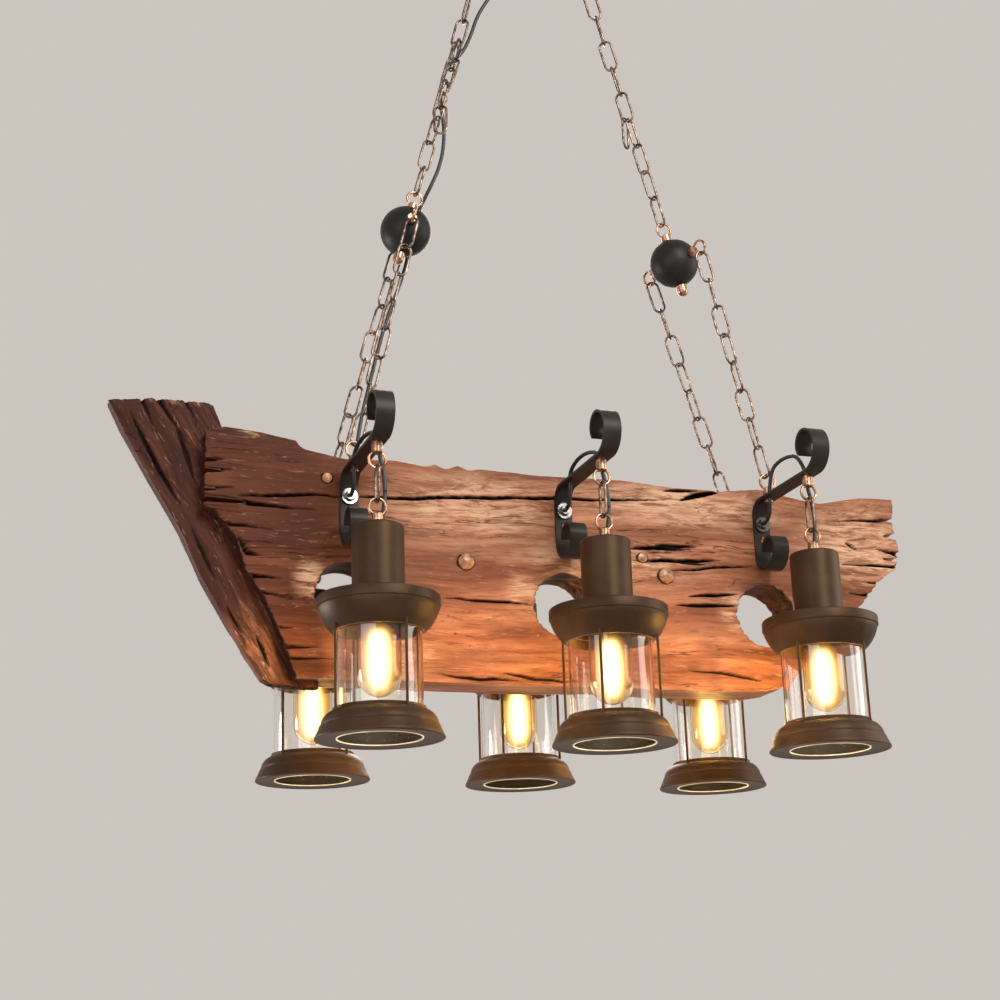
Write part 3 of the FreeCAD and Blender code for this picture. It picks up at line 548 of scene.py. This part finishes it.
# Turned iron of a lantern: the cap's bowl runs in to the glass, and the base stands lower round it
CAP = ((5.2, NECK_TOP), *arc((24, 216.3), (3, 3), 90, 0), *arc((30, 150.3), (3, 3), 180, 270),
       *arc((57, 142.3), (6, 2.6), 90, 0), (63, 133.8), (61.6, 132.7),
       *arc((18.7, 142.7), (44.4, 44.4), -14.6, -50.7, 9), (44.4, 108.3), (44.4, 118.3), (41, 118.3),
       (41, 121.1), (53.4, 121.1), (57.4, 131.3), (60.2, 139.5), (27, 144.5), (24.2, 147.3),
       (24.2, 215.3), (5.2, 215.3), (5.2, NECK_TOP))
BASE = ((43.6, 1.5), (56, 1.1), (61.5, 0.5), *arc((63.9, 1.1), (1.1, 1.1), -105, -15),
        *arc((138.9, 41.6), (84, 84), -151.7, -160.1), (58.6, 13.8),
        *arc((42.2, 12.1), (16.7, 16.7), 10, 72.5, 7), (46.8, 28.6), (46.8, 31), (44.4, 31),
        (44.4, 2), (43.6, 2), (43.6, 1.5))
GLASS_EDGE = ((42.5, 0.9), (43.5, 0.9), (43.5, 1.8), (42.5, 1.8), (42.5, 0.9))
ROD = ((0, 22), (1.5, 22), (1.5, 116), (0, 116))
ROD_CIRCLE = 50.5
# Faces of the base within this radius take black iron as painted shade in its bore
SHADED_BORE_RADIUS = 45.0
IRON_STEPS = 72
ROD_STEPS = 14
GUARD_TURNS = {"near_left": 17, "near_middle": 56, "near_right": 31,
               "far_left": 36, "far_middle": 49, "far_right": 30}


def lantern_iron(name, x, y):
    """A lantern's cap, base and four guard rods, and a ring with a painted glow on the lower edge of its
    glass.
    """
    cap = lathe(f"{name}_cap_skin", CAP, (x, y), IRON, IRON_STEPS, crisp=True)
    base = lathe(f"{name}_base_skin", BASE, (x, y), IRON, IRON_STEPS, crisp=True)
    # The bore's faces take black iron as painted shade; the base is the same iron inside and out
    base.data.materials.append(BLACK)
    middle = at(x, y, 0)
    for face in base.data.polygons:
        reach = max((base.data.vertices[v].co - middle).xy.length for v in face.vertices)
        face.material_index = int(reach < SHADED_BORE_RADIUS * MM)
    parts = [(cap, "cap"), (base, "base")]
    for k in range(4):
        angle = math.radians(GUARD_TURNS[name] + 90 * k)
        place = (x + ROD_CIRCLE * math.cos(angle), y + ROD_CIRCLE * math.sin(angle))
        parts.append((lathe(f"{name}_rod_{k}", ROD, place, IRON, ROD_STEPS, crisp=True), "guard_rods"))
    for part, node in parts:
        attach(part, f"{name}_lantern")
        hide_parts(f"{name}_{node}")
    # A ring on the glass's lower edge with a painted glow
    edge = lathe(f"{name}_glass_edge", GLASS_EDGE, (x, y), PAINTED_GLOW_EDGE, IRON_STEPS, crisp=True)
    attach(edge, f"{name}_lantern")


# Lit bulbs, which hang with their feet up
BULB_FOOT = 156.8
BULB_TIP = 42.0
BULB_RADIUS = 22.5
BULB_WALL = 0.9
# The envelope's shoulder: radius, and how far below the foot
SHOULDER = ((13.0, 0), (14.5, 3), (18.5, 9), (22.0, 18), (22.5, 26))
STRAIGHT_ABOVE_DOME = 6
DOME_DEGREES = (0, 15, 30, 45, 60, 72, 82)
INNER_MOUTH = 12.0
SCREW_CAP = ((0, 180), (8, 180), (10, 179), *((12.6 - 0.7 * (k % 2), 177 - 2.2 * k) for k in range(9)),
             (12.9, 157), (0, 157))
STEM_PRESS = ((0, 156), (7, 156), (5.5, 148), (3, 140), (2.2, 126), (2.8, 122), (0, 120))
# Glowing layers in a bulb, from its envelope inwards: radius, half height, colour and strength
GLOW_LAYERS = ((20.6, 37.0, (1.0, 0.48, 0.08), 0.8), (18.8, 35.5, (1.0, 0.52, 0.11), 1.2),
               (17.0, 34.0, (1.0, 0.60, 0.18), 2.0), (15.2, 32.5, (1.0, 0.72, 0.30), 3.6),
               (13.4, 31.0, (1.0, 0.84, 0.48), 6.5), (11.4, 29.5, (1.0, 0.90, 0.62), 9.0),
               (9.4, 28.0, (1.0, 0.94, 0.72), 10.0))
GLOW_OPACITY = 0.1
# The filament's glowing core, in the same terms
CORE_RADIUS, CORE_HALF, CORE_COLOR, CORE_STRENGTH = 5.5, 22.0, (1.0, 0.60, 0.15), 390.0
GLOW_MIDDLE = 80.0
# Less than 1 makes a glow fuller than an ellipse
GLOW_FULLNESS = 0.6
GLOW_RINGS = 15
GLOWS = [(radius, half, glow(f"glow_{k}", color, strength, GLOW_OPACITY))
         for k, (radius, half, color, strength) in enumerate(GLOW_LAYERS)]
FILAMENT = glow("filament", CORE_COLOR, CORE_STRENGTH, 1.0)


def envelope_profile():
    """A thin wall from the foot down to the tip, and back up inside."""
    dome = BULB_TIP + BULB_RADIUS
    outer = [(radius, BULB_FOOT - below) for radius, below in SHOULDER]
    outer.append((BULB_RADIUS, dome + STRAIGHT_ABOVE_DOME))
    outer += [(BULB_RADIUS * math.cos(a), dome - BULB_RADIUS * math.sin(a))
              for a in np.radians(DOME_DEGREES)]
    outer.append((0, BULB_TIP))
    inner = [(max(radius - BULB_WALL, 0), height + BULB_WALL) for radius, height in outer[:0:-1]]
    return outer + inner + [(INNER_MOUTH, BULB_FOOT), outer[0]]


def glow_profile(radius, half):
    angles = np.linspace(-math.pi / 2, math.pi / 2, GLOW_RINGS + 2)[1:-1]
    rings = [(radius * math.cos(a) ** GLOW_FULLNESS, GLOW_MIDDLE + half * math.sin(a)) for a in angles]
    return [(0, GLOW_MIDDLE - half)] + rings + [(0, GLOW_MIDDLE + half)]


def bulb(name, x, y):
    """A tubular lamp: clear envelope, screw cap, stem press, and a glowing core in a soft glow."""
    envelope = lathe(f"{name}_bulb_envelope", envelope_profile(), (x, y), ENVELOPE)
    envelope.visible_shadow = False
    envelope.visible_diffuse = False
    cap = lathe(f"{name}_bulb_cap", SCREW_CAP, (x, y), BRASS, steps=32)
    press = lathe(f"{name}_bulb_press", STEM_PRESS, (x, y), ENVELOPE, steps=20)
    press.visible_shadow = False
    pieces = [envelope, cap, press]
    for k, (radius, half, material) in enumerate(GLOWS + [(CORE_RADIUS, CORE_HALF, FILAMENT)]):
        layer = lathe(f"{name}_glow_{k}", glow_profile(radius, half), (x, y), material, steps=32)
        layer.visible_shadow = material is FILAMENT
        pieces.append(layer)
    for part in pieces:
        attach(part, f"{name}_lantern")
        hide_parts(f"{name}_bulb")


# The wooden board and stem: their solids remeshed finely, then weathered inwards
# Each crack: "end" is widest at its first point and "mid" in its middle, then half width, depth and points
BOARD_CRACKS = (
    ("end", 2.6, 9, ((-414, 317), (-385, 319))), ("end", 3.2, 10, ((-416, 305), (-380, 307))),
    ("end", 2.2, 8, ((-412, 285), (-376, 287))),
    ("end", 3.6, 12, ((-416, 275), (-372, 273), (-330, 270), (-286, 268))),
    ("mid", 1.5, 7, ((-372, 279), (-345, 281), (-304, 285), (-261, 287))),
    ("mid", 1.9, 9, ((-300, 285), (-198, 288), (-134, 293), (-70, 298), (-11, 301), (47, 303), (130, 309))),
    ("end", 2.0, 7, ((-392, 247), (-332, 244))), ("mid", 2.4, 8, ((-371, 232), (-361, 217), (-348, 214))),
    ("end", 3.0, 9, ((-362, 191), (-326, 190))), ("end", 2.2, 8, ((-360, 175), (-316, 171))),
    ("end", 2.6, 8, ((-337, 136), (-312, 137))), ("end", 3.6, 9, ((-328, 116), (-285, 118))),
    ("end", 1.6, 5, ((-312, 104), (-262, 105))), ("mid", 2.2, 9, ((81, 247), (112, 250), (156, 250))),
    ("mid", 1.6, 7, ((112, 253), (167, 254))), ("mid", 2.0, 8, ((83, 234), (127, 235), (176, 234))),
    ("mid", 1.8, 7, ((132, 235), (196, 240))), ("mid", 1.4, 6, ((129, 224), (186, 230), (239, 236))),
    ("mid", 2.8, 10, ((147, 310), (171, 317), (203, 325))), ("mid", 1.8, 6, ((127, 320), (171, 322))),
    ("mid", 2.0, 7, ((152, 194), (215, 201))), ("mid", 2.0, 7, ((136, 184), (214, 186))),
    ("mid", 1.6, 6, ((144, 107), (187, 106), (238, 98))), ("end", 2.4, 9, ((436, 303), (345, 298))),
    ("mid", 1.8, 6, ((362, 272), (377, 263))), ("end", 3.0, 9, ((438, 260), (402, 266))),
    ("end", 2.2, 8, ((434, 245), (350, 244))), ("end", 2.2, 7, ((410, 223), (380, 224))),
    ("end", 2.4, 8, ((394, 208), (358, 209))), ("mid", 1.5, 7, ((-142, 178), (-92, 177), (-41, 175))),
    ("mid", 1.8, 6, ((-150, 93), (-105, 89), (-59, 89))), ("mid", 1.8, 6, ((-77, 97), (-40, 91), (1, 90))))
STEM_CRACKS = (
    ("end", 2.6, 6, ((-459, 392), (-424, 340))), ("mid", 2.2, 6, ((-486, 370), (-453, 307), (-430, 270))),
    ("mid", 2.0, 5, ((-438, 365), (-413, 294))), ("mid", 1.8, 5, ((-378, 160), (-362, 133))),
    ("mid", 2.0, 5, ((-347, 130), (-332, 98))), ("end", 2.0, 5, ((-474, 388), (-458, 350))),
    ("mid", 1.6, 4, ((-418, 245), (-390, 188))), ("end", 1.8, 5, ((-428, 391), (-414, 362))))
BOARD_HALF_THICKNESS = 27.0
STEM_HALF_THICKNESS = 9.0
HOLE_HEIGHT = 176
HOLE_RADIUS = 36.5
BOARD_HOLES = tuple((x, HOLE_HEIGHT) for _, x in COLUMNS)
VOXEL = 1.1
GRAIN_SQUEEZE = 0.4
# Sizes of the relief's cells along the grain, through the wood and across the grain
GRAIN_CELLS = (60, 10, 10)
LUMP_CELLS = (70, 34, 26)
RAGGED_CELLS = (24, 9, 5)
WANDER_CELLS = (22, 40, 14)
GRAIN_DEPTH = 0.5
LUMP_DEPTH = 0.7
RAGGED_DEPTH = 5.0
RIM_DEPTH = 4.0
CRACK_WANDER = 1.4
# The far side has the same cracks, shifted along and up
FAR_SHIFT = (26, -7)
FACE_FADE = 3.0
EDGE_WIDTH = 4.0
RIM_WIDTH = 9.0
BORE_FADE = 2
# Depth of a cut at which the painted shade in cracks is full
FULL_CRACK_SHADE_DEPTH = 2.5


def crack_depth(flat, cracks):
    """How deep the cracks cut at each (x, z)."""
    depth = np.zeros(len(flat))
    for shape, half_width, deepest, points in cracks:
        corners = np.array(points, float)
        steps = np.linalg.norm(np.diff(corners, axis=0), axis=1)
        gone = 0.0
        for a, b, step in zip(corners, corners[1:], steps):
            share = np.clip(((flat - a) @ (b - a)) / step ** 2, 0, 1)
            away = np.linalg.norm(flat - a - share[:, None] * (b - a), axis=1)
            along = (gone + share * step) / steps.sum()
            taper = 1 - along if shape == "end" else np.sin(np.pi * along) ** 0.7
            width = np.maximum(half_width * (0.12 + 0.88 * taper), 0.05)
            wall = np.clip(1.15 - away / width, 0, 1) ** 0.6
            depth = np.maximum(depth, deepest * (0.3 + 0.7 * taper) * wall)
            gone += step
    return depth


def fine_copy(node, name, along):
    """A finely remeshed copy of a node, with longer cells along its grain."""
    squeeze = Matrix.Scale(GRAIN_SQUEEZE, 4, along)
    shape = NODES[node].data.copy()
    shape.transform(squeeze)
    copy = bpy.data.objects.new(name, shape)
    bpy.context.scene.collection.objects.link(copy)
    remesh = copy.modifiers.new("fine", "REMESH")
    remesh.mode = "VOXEL"
    remesh.voxel_size = MM * VOXEL
    bpy.context.view_layer.update()
    fine = bpy.data.meshes.new_from_object(copy.evaluated_get(bpy.context.evaluated_depsgraph_get()))
    fine.transform(squeeze.inverted())
    copy.modifiers.clear()
    copy.data = fine
    return copy


def noise_at(places, cells, octaves):
    return np.array([noise.fractal(p, 1.0, 2.0, octaves) for p in places / np.array(cells)])


def weathered(node, name, material, along, cracks, half_thickness, holes):
    """A wooden piece with grain relief, cracks and ragged ends, all cut inwards from its solid."""
    copy = fine_copy(node, name, along)
    fine = copy.data
    count = len(fine.vertices)
    places = np.zeros(count * 3)
    normals = np.zeros(count * 3)
    fine.vertices.foreach_get("co", places)
    fine.vertices.foreach_get("normal", normals)
    places, normals = places.reshape(-1, 3), normals.reshape(-1, 3)
    size = (places - np.array((0, 0, FEET))) / MM
    own = np.stack((size @ np.array(along), size[:, 1], size @ np.array((-along.z, 0, along.x))), axis=1)
    grain = noise_at(own, GRAIN_CELLS, 3)
    lumps = noise_at(own, LUMP_CELLS, 2)
    ragged = noise_at(own, RAGGED_CELLS, 2)
    wander = noise_at(own, WANDER_CELLS, 1)

    ends = np.clip(np.abs(normals @ np.array(along)) * 1.4 - 0.3, 0, 1)
    sideways = 1 - np.abs(normals[:, 1])
    below_face = half_thickness - np.abs(size[:, 1])
    on_face = np.clip(1 - below_face / FACE_FADE, 0, 1)
    flat = size[:, (0, 2)].copy()
    flat[:, 1] += CRACK_WANDER * wander
    flat[size[:, 1] > 0] += FAR_SHIFT
    cut = crack_depth(flat, cracks) * on_face
    inwards = GRAIN_DEPTH * np.clip(0.7 + grain, 0, 2) + LUMP_DEPTH * np.clip(0.5 + lumps, 0, 2)
    inwards += ends * RAGGED_DEPTH * np.clip(ragged + 0.15, 0, 1.4) + cut
    edge = np.clip(1 - below_face / EDGE_WIDTH, 0, 1) * sideways * 1.6
    # Darkness of the end grain, partly its own colour and partly painted shade, and painted shade on the
    # holes' bores
    dark_end_and_bore_shade = ends * 0.85
    for x, z in holes:
        around = np.hypot(size[:, 0] - x, size[:, 2] - z)
        bore = np.clip((HOLE_RADIUS + BORE_FADE - around) / BORE_FADE, 0, 1) * sideways
        dark_end_and_bore_shade = np.maximum(dark_end_and_bore_shade, bore * np.clip(0.75 + 0.5 * ragged, 0, 0.9))
        rim = np.clip(1 - np.abs(around - HOLE_RADIUS) / RIM_WIDTH, 0, 1) * on_face
        inwards += RIM_DEPTH * rim * np.clip(ragged + 0.1, 0, 1)
        edge = np.maximum(edge, rim * np.clip(ragged * 2, 0, 1))
    places -= normals * (inwards * MM)[:, None]
    fine.vertices.foreach_set("co", places.ravel())
    # Painted shade in the cracks, by how deep they are cut
    shades = {"painted_crack_shade": np.clip(cut / FULL_CRACK_SHADE_DEPTH, 0, 1), "edge": np.clip(edge, 0, 1) * (1 - ends),
              # The end value: end grain, partly its own colour and partly painted shade, and painted shade
              # on the bores
              "end": dark_end_and_bore_shade}
    for label, values in shades.items():
        fine.attributes.new(label, "FLOAT", "POINT").data.foreach_set("value", values.astype(np.float32))
    fine.materials.clear()
    fine.materials.append(material)
    fine.shade_smooth()
    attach(copy, "pendant")
    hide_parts(node)


# Camera, light and floor
CAMERA_PLACE = (-706.2, -1822.1, -284.2)
CAMERA_YAW, CAMERA_PITCH, CAMERA_ROLL = 19.37, 16.91, -1.82
CAMERA_LENS = 63.65
CAMERA_SENSOR = 36
BACKDROP = (0.60, 0.56, 0.52)
SOFT_LIGHT = (1.0, 0.97, 0.94)
SOFT_STRENGTH = 0.35
# Each lamp: name, place, target, diameter in metres, watts and colour
LAMPS = (("key", (450, -2100, 1500), (0, 0, 220), 1.2, 62, (1.0, 0.97, 0.93)),
         ("fill", (-1500, -1500, 300), (0, 0, 250), 1.4, 16, (1.0, 0.96, 0.92)),
         ("side", (1960, -470, 670), (0, -100, 120), 1.5, 18, (1.0, 0.95, 0.92)),
         ("rim", (-1700, 1100, 0), (-400, 0, 250), 0.8, 22, (1.0, 0.95, 0.9)),
         ("back", (700, 1700, 1300), (0, 0, 250), 1.4, 34, (1.0, 0.97, 0.94)))
FLOOR_HEIGHT = -900
FLOOR_REACH = 9000
# Between these distances from the object, in metres, the floor fades into the backdrop
FLOOR_FADE = (0.5, 2.2)


def camera():
    yaw, pitch, roll = (math.radians(a) for a in (CAMERA_YAW, CAMERA_PITCH, CAMERA_ROLL))
    forward = Vector((math.sin(yaw) * math.cos(pitch), math.cos(yaw) * math.cos(pitch), math.sin(pitch)))
    level = Vector((math.cos(yaw), -math.sin(yaw), 0))
    upright = level.cross(forward)
    right = level * math.cos(roll) + upright * math.sin(roll)
    up = upright * math.cos(roll) - level * math.sin(roll)
    data = bpy.data.cameras.new("camera")
    data.lens = CAMERA_LENS
    data.sensor_width = CAMERA_SENSOR
    obj = bpy.data.objects.new("camera", data)
    bpy.context.scene.collection.objects.link(obj)
    turn = Matrix((right, up, -forward)).transposed().to_4x4()
    obj.matrix_world = Matrix.Translation(at(*CAMERA_PLACE)) @ turn
    bpy.context.scene.camera = obj


def lamp(name, place, target, diameter, watts, color):
    data = bpy.data.lights.new(name, "AREA")
    data.shape = "DISK"
    data.size = diameter
    data.energy = watts
    data.color = color
    obj = bpy.data.objects.new(name, data)
    bpy.context.scene.collection.objects.link(obj)
    obj.visible_camera = False
    obj.location = at(*place)
    obj.rotation_euler = (at(*target) - at(*place)).to_track_quat("-Z", "Y").to_euler()


def seen_directly(tree):
    """1 for what the camera sees, also in metal and through glass, and 0 for light."""
    path = tree.nodes.new("ShaderNodeLightPath")
    seen = path.outputs["Is Camera Ray"]
    for other in ("Is Glossy Ray", "Is Transmission Ray"):
        join = tree.nodes.new("ShaderNodeMath")
        join.operation = "MAXIMUM"
        tree.links.new(seen, join.inputs[0])
        tree.links.new(path.outputs[other], join.inputs[1])
        seen = join.outputs[0]
    return seen


def surroundings():
    """A world that gives soft light and is seen as a plain pale backdrop."""
    world = bpy.data.worlds.new("studio")
    bpy.context.scene.world = world
    world.use_nodes = True
    tree = world.node_tree
    shown = tree.nodes["Background"]
    shown.inputs["Color"].default_value = (*BACKDROP, 1)
    shown.inputs["Strength"].default_value = 1.0
    soft = tree.nodes.new("ShaderNodeBackground")
    soft.inputs["Color"].default_value = (*SOFT_LIGHT, 1)
    soft.inputs["Strength"].default_value = SOFT_STRENGTH
    mix = tree.nodes.new("ShaderNodeMixShader")
    tree.links.new(seen_directly(tree), mix.inputs[0])
    tree.links.new(soft.outputs[0], mix.inputs[1])
    tree.links.new(shown.outputs[0], mix.inputs[2])
    tree.links.new(mix.outputs[0], tree.nodes["World Output"].inputs["Surface"])


def floor():
    """A plain pale floor that fades into the backdrop away from the object."""
    look = Look("floor")
    cloud = look.noise(3, 2)
    look.set(color=look.ramp(cloud, (0.3, (0.60, 0.57, 0.54)), (0.7, (0.63, 0.60, 0.57))), roughness=0.9)
    flat = look.add("ShaderNodeMapping", {"Vector": look.place, "Scale": (1, 1, 0)}).outputs[0]
    away = look.add("ShaderNodeVectorMath", {0: flat}, operation="LENGTH").outputs["Value"]
    pale = look.add("ShaderNodeEmission", {"Color": (*BACKDROP, 1), "Strength": 1.0}).outputs[0]
    faded = look.times(look.mask(away, *FLOOR_FADE), seen_directly(look.tree))
    ground = look.add("ShaderNodeMixShader", {"Fac": faded, 1: look.shader.outputs[0], 2: pale})
    look.tree.links.new(ground.outputs[0], look.tree.nodes["Material Output"].inputs["Surface"])
    corners = [(x * FLOOR_REACH, y * FLOOR_REACH) for x, y in ((-1, -1), (1, -1), (1, 1), (-1, 1))]
    verts = [at(x, y, FLOOR_HEIGHT) for x, y in corners]
    piece("floor", verts, [[0, 1, 2, 3]], look.material, smooth=False)


camera()
leads()
supply_cord()
dress_nodes()
for station, station_x, station_y in STATIONS:
    lantern_iron(station, station_x, station_y)
    bulb(station, station_x, station_y)
weathered("board", "board_timber", BOARD_WOOD, BOARD_GRAIN, BOARD_CRACKS, BOARD_HALF_THICKNESS, BOARD_HOLES)
weathered("stem", "stem_timber", STEM_WOOD, STEM_GRAIN.normalized(), STEM_CRACKS, STEM_HALF_THICKNESS, ())
bpy.context.scene.view_settings.view_transform = "Standard"
surroundings()
for lamp_values in LAMPS:
    lamp(*lamp_values)
floor()
